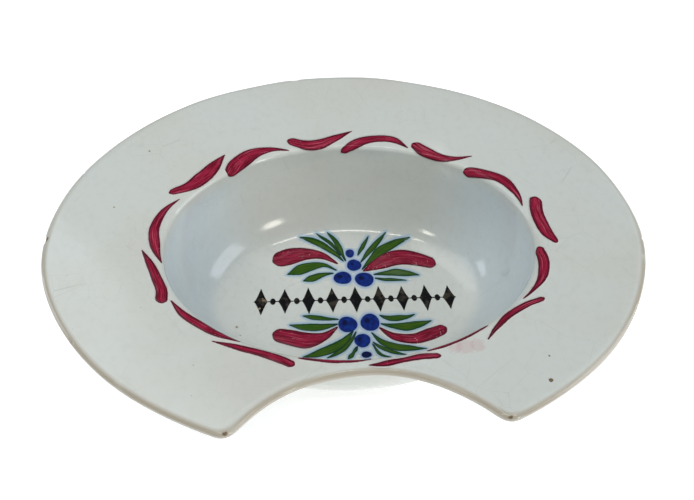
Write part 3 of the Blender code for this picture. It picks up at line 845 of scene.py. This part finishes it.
CRIMSON_DEEP = (0.13, 0.0008, 0.012)
CRIMSON = (0.36, 0.014, 0.054)
CRIMSON_THIN = (0.58, 0.14, 0.19)
CRIMSON_POOL = (0.035, 0.0005, 0.008)
# Pale specks painted on the crimson as glints
CRIMSON_GLINT = (0.80, 0.72, 0.68)
CRIMSON_HALO = (0.55, 0.18, 0.24)
GREEN_DEEP = (0.016, 0.078, 0.005)
GREEN = (0.060, 0.125, 0.006)
GREEN_POOL = (0.002, 0.036, 0.020)
GREEN_ROOT = (0.003, 0.024, 0.045)
GREEN_HALO = (0.27, 0.45, 0.60)
COBALT_DEEP = (0.003, 0.014, 0.135)
COBALT = (0.005, 0.034, 0.260)
COBALT_NAVY = (0.001, 0.003, 0.030)
COBALT_POOL = (0.002, 0.006, 0.06)
COBALT_HALO = (0.27, 0.42, 0.66)
BLACK = (0.003, 0.003, 0.004)
BLACK_WORN = (0.045, 0.037, 0.028)
BLACK_RUBBED = (0.42, 0.33, 0.20)
ENAMEL_SPECULAR = 0.22


class Enamel(Shader):
    """Paint on the glaze: its own body inside a ragged border, and the glaze outside it."""

    def __init__(self, name):
        super().__init__(name)
        self.glaze, self.roughness = glaze_finish(self)
        self.surface.inputs["Specular IOR Level"].default_value = ENAMEL_SPECULAR
        ragged = self.math("SUBTRACT", self.noise(1.3 * MM, 2, offset=11), 0.5)
        self.inside = self.plus(self.layer("inside"), self.times(ragged, 0.35))

    def streaks(self, along, across, offset):
        """Brush streaks drawn out along a mark."""
        vector = self.vector(self.times(self.layer("along"), 1 / along),
                             self.times(self.layer("across"), 1 / across),
                             self.layer("seed"))
        return self.noise(1.0, 3, vector=vector, offset=offset)

    def paint(self, body, border, outside=None, grain=1.6 * MM, detail=2, depth=0.02 * MM):
        """The finished enamel: its body, whose border runs between two distances inside."""
        around = self.glaze if outside is None else outside
        colour = self.mix(self.ramp(self.inside, *border), around, body)
        return self.finish(colour, self.roughness, self.noise(grain, detail, offset=7), depth)

    def halo(self, reach, inner, weight, tint):
        """The glaze round the paint, tinted where the colour bled into it."""
        return self.tint(self.glaze, self.ramp(self.inside, -reach, inner), weight, tint)


def crimson_material():
    shader = Enamel("crimson_enamel_finish")
    body = shader.mix(shader.ramp(shader.streaks(9, 0.55, 1), 0.36, 0.64), CRIMSON_DEEP, CRIMSON)
    body = shader.tint(body, shader.ramp(shader.streaks(14, 0.5, 6), 0.55, 0.70), 0.55, CRIMSON_THIN)
    patchy = shader.ramp(shader.noise(5 * MM, 2, offset=8), 0.10, 0.40)
    pooled = shader.times(shader.ramp(shader.inside, 1.6, 0.4), patchy)
    body = shader.tint(body, pooled, 0.85, CRIMSON_POOL)
    # Painted glints: pale specks scattered over the crimson
    painted_glints = shader.times(shader.dots(0.9 * MM, 0.32, 0.15, 0.66, 0.05), shader.layer("glint_amount"))
    painted_glints = shader.times(painted_glints, shader.ramp(shader.noise(7 * MM, 1, offset=14), 0.52, 0.66))
    body = shader.tint(body, painted_glints, 0.8, CRIMSON_GLINT)
    return shader.paint(body, (-0.06, 0.14), shader.halo(0.6, 0.1, 0.35, CRIMSON_HALO))


def green_material():
    shader = Enamel("green_enamel_finish")
    body = shader.mix(shader.ramp(shader.streaks(12, 0.7, 2), 0.30, 0.70), GREEN_DEEP, GREEN)
    body = shader.tint(body, shader.ramp(shader.inside, 1.5, 0.3), 0.85, GREEN_POOL)
    body = shader.tint(body, shader.ramp(shader.layer("along"), 5.0, 0.5), 0.7, GREEN_ROOT)
    return shader.paint(body, (-0.12, 0.18), shader.halo(2.7, 0, 0.75, GREEN_HALO))


def cobalt_material():
    shader = Enamel("cobalt_enamel_finish")
    body = shader.mix(shader.ramp(shader.noise(3 * MM, 3, offset=3), 0.35, 0.7), COBALT_DEEP, COBALT)
    # The paint is darkest off the berry's middle, where the brush was lifted
    place = shader.vector(shader.layer("along"), shader.layer("across"), 0.0)
    lifted_at = shader.distance(place, (-0.30, 0.22, 0))
    navy = shader.plus(lifted_at, shader.times(shader.noise(2 * MM, 2, offset=6), 0.5))
    navy = shader.math("MAXIMUM", shader.ramp(navy, 0.66, 0.42), shader.layer("navy"))
    body = shader.tint(body, navy, 0.85, COBALT_NAVY)
    body = shader.tint(body, shader.ramp(shader.inside, 0.55, 0.10), 0.5, COBALT_POOL)
    return shader.paint(body, (-0.15, 0.20), shader.halo(2.7, 0, 0.80, COBALT_HALO))


def black_material():
    shader = Enamel("black_enamel_finish")
    worn = shader.ramp(shader.noise(5 * MM, 4, offset=4), 0.50, 0.64)
    worn = shader.times(worn, shader.ramp(shader.inside, 0.3, 1.0))
    body = shader.mix(worn, BLACK, BLACK_WORN)
    rubbed = shader.ramp(shader.noise(3 * MM, 3, offset=17), 0.62, 0.70)
    rubbed = shader.times(rubbed, shader.ramp(shader.layer("along"), 12.0, 2.0))
    body = shader.tint(body, rubbed, 0.8, BLACK_RUBBED)
    return shader.paint(body, (-0.05, 0.12), grain=1.0 * MM, detail=3, depth=0.04 * MM)


def floor_material():
    shader = Shader("studio_floor_finish")
    tone = shader.mix(shader.noise(0.4, 2), (0.90, 0.90, 0.90), (0.93, 0.93, 0.93))
    shader.surface.inputs["Emission Color"].default_value = (1, 1, 1, 1)
    shader.surface.inputs["Emission Strength"].default_value = 0.35
    return shader.finish(tone, 0.9)


# ---------------------------------------------------------------- clay and glaze pieces

def add_piece(name, mesh, material, slot, *nodes):
    """Places a finished mesh as a piece that stands for its CAD nodes."""
    face_outwards(mesh)
    obj = material_object(name, mesh, material)
    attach(obj, "root")
    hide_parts(*nodes)
    return obj


def build_glaze_coat(material):
    """The glaze as one closed skin: its outer face, then its inner face at the clay."""
    foot = FOOT_A + FOOT_GAP, FOOT_B + FOOT_GAP
    face = skin_rings(0, 1, RAYS) + rim_rings(0, RIM_RINGS, RAYS)
    lip = lip_rings(0, RAYS, 1)
    under = under_rings(-THICKNESS, 1, RAYS // 2, *foot)
    inner = skin_rings(-GLAZE, 2, COARSE_RAYS) + rim_rings(-GLAZE, RIM_RINGS_INSIDE, COARSE_RAYS)
    inner += lip_rings(GLAZE, COARSE_RAYS, 2) + under_rings(GLAZE - THICKNESS, 2, COARSE_RAYS, *foot)
    rings = face + lip + under + inner[::-1]
    # Where the lip shows clay through thin glaze, and painted shade on its edge
    warmth_and_shade = np.zeros(len(rings))
    warmth_and_shade[len(face):len(face) + len(lip)] = np.interp(range(len(lip)), LIP_WARMTH_AND_SHADE, (0, 1, 1, 0))
    layer = [0, *np.repeat(warmth_and_shade, [len(ring) for ring in rings]), 0]
    centre = floor_point(np.array([0.0]), np.array([WELL_Y]))[0]
    top = centre + (0, 0, float(waviness(centre)))
    mesh = ring_mesh("glaze_coat", rings, top, top - (0, 0, GLAZE), {"lip": layer})
    return add_piece("glaze_skin", mesh, material, "tin_glaze", "glaze_coat")


def build_clay(material):
    """The clay under the glaze: the same faces, moved in by the coat's thickness."""
    rings = skin_rings(-COAT, 2, COARSE_RAYS) + rim_rings(-COAT, RIM_RINGS_INSIDE, COARSE_RAYS)
    rings += lip_rings(COAT, COARSE_RAYS, 2)
    rings += under_rings(COAT - THICKNESS, 2, COARSE_RAYS, FOOT_A, FOOT_B)
    centre = np.array((0, WELL_Y, FLOOR_Z))
    mesh = ring_mesh("clay_body", rings, centre - (0, 0, COAT), centre - (0, 0, THICKNESS - COAT))
    return add_piece("clay_wall", mesh, material, "buff_clay", "clay_body")


def build_foot(material):
    """The foot ring, with a rounded sole and slightly uneven turned sides."""
    angle = pick(COARSE_RAYS)
    sides = (0.8, 0.6, 0.4)
    turns = np.linspace(0, math.pi / 2, 6)
    section = [(0, FOOT_TOP)]
    section += [(0, FOOT_TOP * share) for share in sides]
    section += [(SOLE_RADIUS * (1 - math.cos(t)), SOLE_RADIUS * (1 - math.sin(t))) for t in turns]
    section += [(FOOT_WALL - SOLE_RADIUS * (1 - math.sin(t)), SOLE_RADIUS * (1 - math.cos(t)))
                for t in turns]
    section += [(FOOT_WALL, FOOT_TOP * share) for share in sides[::-1]]
    section += [(FOOT_WALL, FOOT_TOP)]
    rings = []
    for inset, height in section:
        uneven = 0.1 * MM * np.sin(9 * angle) if 0.2 * FOOT_TOP < height < 0.9 * FOOT_TOP else 0
        reach = oval_reach(FOOT_A - inset, FOOT_B - inset, angle) - uneven
        rings.append(from_middle(angle, reach, height))
    points = np.array(rings)
    count, around = points.shape[:2]
    faces = []
    for i in range(count):
        for j in range(around):
            k = (j + 1) % around
            m = (i + 1) % count
            faces.append((i * around + j, m * around + j, m * around + k, i * around + k))
    mesh = mesh_from("foot_ring", points.reshape(-1, 3), faces)
    return add_piece("foot_ring_sole", mesh, material, "foot_clay", "foot_ring")


def build_recess(material):
    """The glaze inside the foot, thicker where it pooled against the ring."""
    angle = pick(COARSE_RAYS)
    a = (recess_high.x - recess_low.x) / 2
    b = (recess_high.y - recess_low.y) / 2
    rings = []
    for share in np.linspace(0.08, 1, 14):
        height = recess_low.z - POOL_SAG * share ** 14 + 0.03 * MM * np.sin(5 * angle + 9 * share)
        rings.append(from_middle(angle, share * oval_reach(a, b, angle), height))
    rings.append(from_middle(angle, oval_reach(a, b, angle), recess_high.z))
    middle = np.array((0, WELL_Y, recess_low.z))
    mesh = ring_mesh("glaze_recess", rings, middle, (0, WELL_Y, recess_high.z))
    set_layer(mesh, "lip", np.zeros(len(mesh.vertices)))
    return add_piece("glaze_pool", mesh, material, "tin_glaze", "glaze_recess")


# ---------------------------------------------------------------- enamel pieces

def curve_through(values, share):
    """The smooth curve through evenly spaced values, running on straight past its ends."""
    values = np.asarray(values)
    slopes = np.gradient(values)
    last = len(values) - 1
    step = np.clip(share, 0, 1) * last
    index = np.clip(np.floor(step).astype(int), 0, last - 1)
    t = step - index
    rise = values[index + 1] - values[index]
    curve = values[index] + slopes[index] * t
    curve += (3 * rise - 2 * slopes[index] - slopes[index + 1]) * t * t
    curve += (slopes[index] + slopes[index + 1] - 2 * rise) * t * t * t
    return curve + slopes[index + np.round(t).astype(int)] * (share * last - step)


def brush_width(widths, length, share):
    """Half width of a brush mark, with both its ends rounded."""
    half = np.interp(share, np.linspace(0, 1, len(widths)), widths)
    half = (half + 3 * curve_through(widths, share)) / 4
    for end, gone in ((widths[0], share), (widths[-1], 1 - share)):
        near = np.clip(gone * length / end, 0, 1)
        half = half * np.sqrt(near * (2 - near))
    return half


def wobble(share, seed, size):
    """The unsteadiness of a hand-held brush."""
    return size * (np.sin(7 * share + 3 * seed) + 0.6 * np.sin(17 * share + 5 * seed))


def paint_heights(inside, bleed):
    """Height of the enamel's face over the glaze, from the distance inside its border."""
    body = np.clip((inside / MM + 0.2) / 0.7, 0, 1)
    body = body * body * (3 - 2 * body)
    fringe = np.clip((inside + bleed) / bleed, 0, 1)
    return ENAMEL_RISE * body + FRINGE_RISE * fringe


def brush_mark(name, mark, lay, bleed, material, slot, seed, unsteady, rows, glint_amount):
    """One brush mark as a thin closed body. The mark's points are laid on the bowl by lay."""
    xs, ys, widths = np.transpose(mark) * MM
    length = float(np.hypot(np.diff(xs), np.diff(ys)).sum())
    columns = max(LEAST_COLUMNS, int(length / MARK_STEP))
    extra = bleed / length
    share = np.linspace(-extra, 1 + extra, columns)[:, None]
    side = np.linspace(-1, 1, rows)[None, :]
    beyond = np.maximum(np.maximum(-share, share - 1), 0) * length
    half = brush_width(widths, length, np.clip(share, 0, 1)) - beyond
    across = side * np.maximum(half + bleed, LEAST_HALF)
    share = np.broadcast_to(share, across.shape)
    inside = np.minimum(half - np.abs(across), np.minimum(share, 1 - share) * length + 0.15 * MM)
    x = curve_through(xs, share)
    y = curve_through(ys, share)
    ahead = share + AHEAD
    heading = np.arctan2(curve_through(ys, ahead) - y, curve_through(xs, ahead) - x)
    beside = across + wobble(share, seed, unsteady)
    x = x - np.sin(heading) * beside
    y = y + np.cos(heading) * beside
    layers = {
        "inside": inside / MM,
        "along": share * length / MM,
        "across": across / MM,
        "seed": np.full(across.shape, seed * 3.7),
        "glint_amount": np.full(across.shape, glint_amount),
    }
    mesh = grid_mesh(name, lay(x, y, paint_heights(inside, bleed)), lay(x, y, -ENAMEL_BITE), layers)
    return add_piece(name + "_paint", mesh, material, slot, name)


def build_garland(material):
    """Sixteen overlapping strokes that bow by turns into the well and onto the rim."""
    turns = np.radians(GARLAND_START_DEG - np.arange(361))
    xs = EDGE_A * np.cos(turns)
    ys = EDGE_B * np.sin(turns)
    arc = np.concatenate(([0], np.cumsum(np.hypot(np.diff(xs), np.diff(ys)))))

    def lay(travel, across, height):
        turn = np.interp(travel % arc[-1], arc, turns)
        angle = np.arctan2(EDGE_B * np.sin(turn), EDGE_A * np.cos(turn))
        return lifted(edge_point, angle, across, height)

    for index, stroke in enumerate(GARLAND):
        brush_mark(f"garland_stroke_{index + 1:02d}", stroke, lay, CRIMSON_BLEED, material,
                   "crimson_enamel", index, GARLAND_WOBBLE, GARLAND_ROWS, glint_amount=0.25)


def build_marks(marks, bleed, material, slot, seed):
    """Petals or leaves of the floor decoration, each from root to tip."""
    def lay(x, y, height):
        return lifted(floor_point, DECOR_X + x, DECOR_Y + y, height)

    for index, (name, mark) in enumerate(marks.items()):
        brush_mark(name, mark, lay, bleed, material, slot, seed + index, MARK_WOBBLE,
                   MARK_ROWS, glint_amount=1.0)


def build_berry(name, spot, material, seed):
    """One round berry, set down with a loaded brush."""
    x, y, half_x, half_y = np.array(spot) * MM
    radius = (half_x + half_y) / 2
    turn = np.linspace(0, 2 * math.pi, BERRY_SEGMENTS, endpoint=False)
    edge = oval_reach(half_x, half_y, turn)
    edge = edge * (1 + 0.02 * np.sin(2 * turn + seed) + 0.025 * np.sin(3 * turn + 2 * seed))

    def lay(reach, height):
        x_at = DECOR_X + x + reach * np.cos(turn)
        y_at = DECOR_Y + y + reach * np.sin(turn)
        return lifted(floor_point, x_at, y_at, height)

    shares = np.concatenate((np.linspace(0.08, 0.85, 8), np.linspace(0.92, 1, 4)))
    reaches = np.array([edge * share for share in shares]
                       + [edge + BLUE_BLEED * step / 5 for step in range(1, 6)])
    rings = [lay(reach, paint_heights(edge - reach, BLUE_BLEED)) for reach in reaches]
    rings += [lay(reach, -ENAMEL_BITE) for reach in (reaches[-1], edge * 0.5)]
    top = lay(0 * edge, paint_heights(radius, BLUE_BLEED))[0]
    bottom = lay(0 * edge, -ENAMEL_BITE)[0]

    def layer(core, values):
        return np.concatenate(([core], values.reshape(-1), np.zeros(2 * BERRY_SEGMENTS + 1)))

    mesh = ring_mesh(name, rings, top, bottom, {
        "inside": layer(radius / MM, (edge - reaches) / MM),
        "along": layer(0, reaches * np.cos(turn) / radius),
        "across": layer(0, reaches * np.sin(turn) / radius),
    })
    set_layer(mesh, "navy", np.full(len(mesh.vertices), radius < NAVY_BERRY))
    return add_piece(name + "_paint", mesh, material, "cobalt_enamel", name)


def build_chain(material):
    """The chain: lozenges with hollow sides, and a bead in each link."""
    share = np.linspace(0, 1, CHAIN_COLUMNS)[:, None]
    phase = share * (CHAIN_LOZENGES - 1 + 2 * LOZENGE_SHARE) % 1
    lozenge = np.clip(1 - np.abs(phase - LOZENGE_AT) / LOZENGE_SHARE, 0, 1) ** LOZENGE_HOLLOW
    bead = np.sqrt(np.clip(1 - ((phase - BEAD_AT) / BEAD_SHARE) ** 2, 0, 1))
    half = np.maximum(np.maximum(LOZENGE_HALF * lozenge, BEAD_HALF * bead), LINK_HALF)
    half = half * (1 + 0.05 * np.sin(31 * share))
    across = np.linspace(-1, 1, CHAIN_ROWS)[None, :] * (half + BLACK_BLEED)
    inside = (half - np.abs(across)) * 0.8
    inside = np.minimum(inside, np.minimum(share, 1 - share) * 2 * CHAIN_HALF_LENGTH + 0 * across)
    along = (2 * share - 1) * CHAIN_HALF_LENGTH + 0 * across

    def place(height):
        x = DECOR_X + along * math.cos(CHAIN_TILT) - across * math.sin(CHAIN_TILT)
        y = DECOR_Y + along * math.sin(CHAIN_TILT) + across * math.cos(CHAIN_TILT)
        return lifted(floor_point, x, y, height)

    layers = {"inside": inside / MM, "along": (along + CHAIN_HALF_LENGTH) / MM}
    mesh = grid_mesh("ornament_chain", place(paint_heights(inside, BLACK_BLEED)),
                     place(-ENAMEL_BITE), layers)
    return add_piece("ornament_chain_paint", mesh, material, "black_enamel", "ornament_chain")


def build_decoration():
    crimson = crimson_material()
    green = green_material()
    cobalt = cobalt_material()
    build_garland(crimson)
    build_marks(PETALS, CRIMSON_BLEED, crimson, "crimson_enamel", 20)
    build_marks({**LEAVES, **BLADES}, BLUE_BLEED, green, "green_enamel", 40)
    for seed, (name, spot) in enumerate(BERRIES.items()):
        build_berry(name, spot, cobalt, seed)
    build_chain(black_material())


# ---------------------------------------------------------------- studio

CAMERA_AT = Vector((-39.4, -239.7, 367.5)) * MM
CAMERA_TARGET = Vector((-1.3, -3.2, 50)) * MM
CAMERA_ROLL = math.radians(4.542)
CAMERA_LENS = 36.5

# Softboxes: name, direction from the bowl, distance, width and height in metres, how
# bright they look, and colour
SOFTBOXES = (
    ("top_panel", (-0.45, 0.16, 1.0), 0.85, 0.80, 0.70, 1.45, (0.96, 0.98, 1.0)),
    ("overhead_strip", (0.02, -0.38, 0.92), 1.1, 0.75, 0.05, 14, (1.0, 0.97, 0.90)),
    ("back_lamp", (0.20, 0.58, 0.79), 1.3, 0.05, 0.05, 4, (0.92, 0.97, 1.0)),
    ("left_window", (-0.93, 0.19, 0.32), 1.2, 0.45, 0.50, 3.5, (0.86, 0.93, 1.0)),
    ("right_window", (0.95, -0.24, 0.34), 1.2, 0.80, 0.90, 3.5, (0.90, 0.93, 1.0)),
    ("front_lamp_right", (0.56, -0.82, 0.34), 1.3, 0.13, 0.36, 14, (1.0, 0.95, 0.84)),
    ("front_lamp_left", (-0.46, -0.62, 0.63), 1.3, 0.12, 0.14, 14, (1.0, 0.95, 0.84)),
)
SKY = (0.93, 0.96, 1.0)
SKY_STRENGTH = 0.31
FLOOR_HALF = 3.0


def aimed(origin, target, roll=0.0):
    """A matrix that puts an object at a point, looking down its own -Z at a target."""
    back = (origin - target).normalized()
    right = Vector((0, 0, 1)).cross(back).normalized()
    up = back.cross(right)
    tilted = right * math.cos(roll) + up * math.sin(roll)
    upright = up * math.cos(roll) - right * math.sin(roll)
    turn = Matrix((tilted, upright, back)).transposed()
    return Matrix.Translation(origin) @ turn.to_4x4()


def build_camera():
    data = bpy.data.cameras.new("camera")
    data.sensor_width = 36
    data.lens = CAMERA_LENS
    data.clip_start = 0.01
    camera = bpy.data.objects.new("camera", data)
    camera.matrix_world = aimed(CAMERA_AT, CAMERA_TARGET, CAMERA_ROLL)
    bpy.context.scene.collection.objects.link(camera)
    bpy.context.scene.camera = camera


def build_lights():
    middle = Vector((0, WELL_Y, FLOOR_Z))
    for name, direction, distance, width, height, bright, colour in SOFTBOXES:
        data = bpy.data.lights.new(name, "AREA")
        data.shape = "RECTANGLE"
        data.size = width
        data.size_y = height
        data.energy = bright * math.pi * width * height
        data.color = colour
        lamp = bpy.data.objects.new(name, data)
        lamp.matrix_world = aimed(middle + Vector(direction).normalized() * distance, middle)
        bpy.context.scene.collection.objects.link(lamp)
    world = bpy.data.worlds.new("studio")
    world.use_nodes = True
    background = world.node_tree.nodes["Background"]
    background.inputs["Color"].default_value = (*SKY, 1)
    background.inputs["Strength"].default_value = SKY_STRENGTH
    bpy.context.scene.world = world
    bpy.context.scene.view_settings.view_transform = "Standard"


def build_floor():
    corners = np.array([(-1, -1, 0), (1, -1, 0), (1, 1, 0), (-1, 1, 0)]) * FLOOR_HALF
    mesh = mesh_from("studio_floor", corners, [(0, 1, 2, 3)])
    floor = material_object("studio_floor", mesh, floor_material())


build_camera()
build_lights()
build_floor()
glaze = glaze_material()
build_glaze_coat(glaze)
build_recess(glaze)
build_clay(clay_material("buff_clay_finish", (0.62, 0.47, 0.32), (0.40, 0.29, 0.19)))
build_foot(clay_material("foot_clay_finish", (0.55, 0.41, 0.27), (0.30, 0.22, 0.15)))
build_decoration()
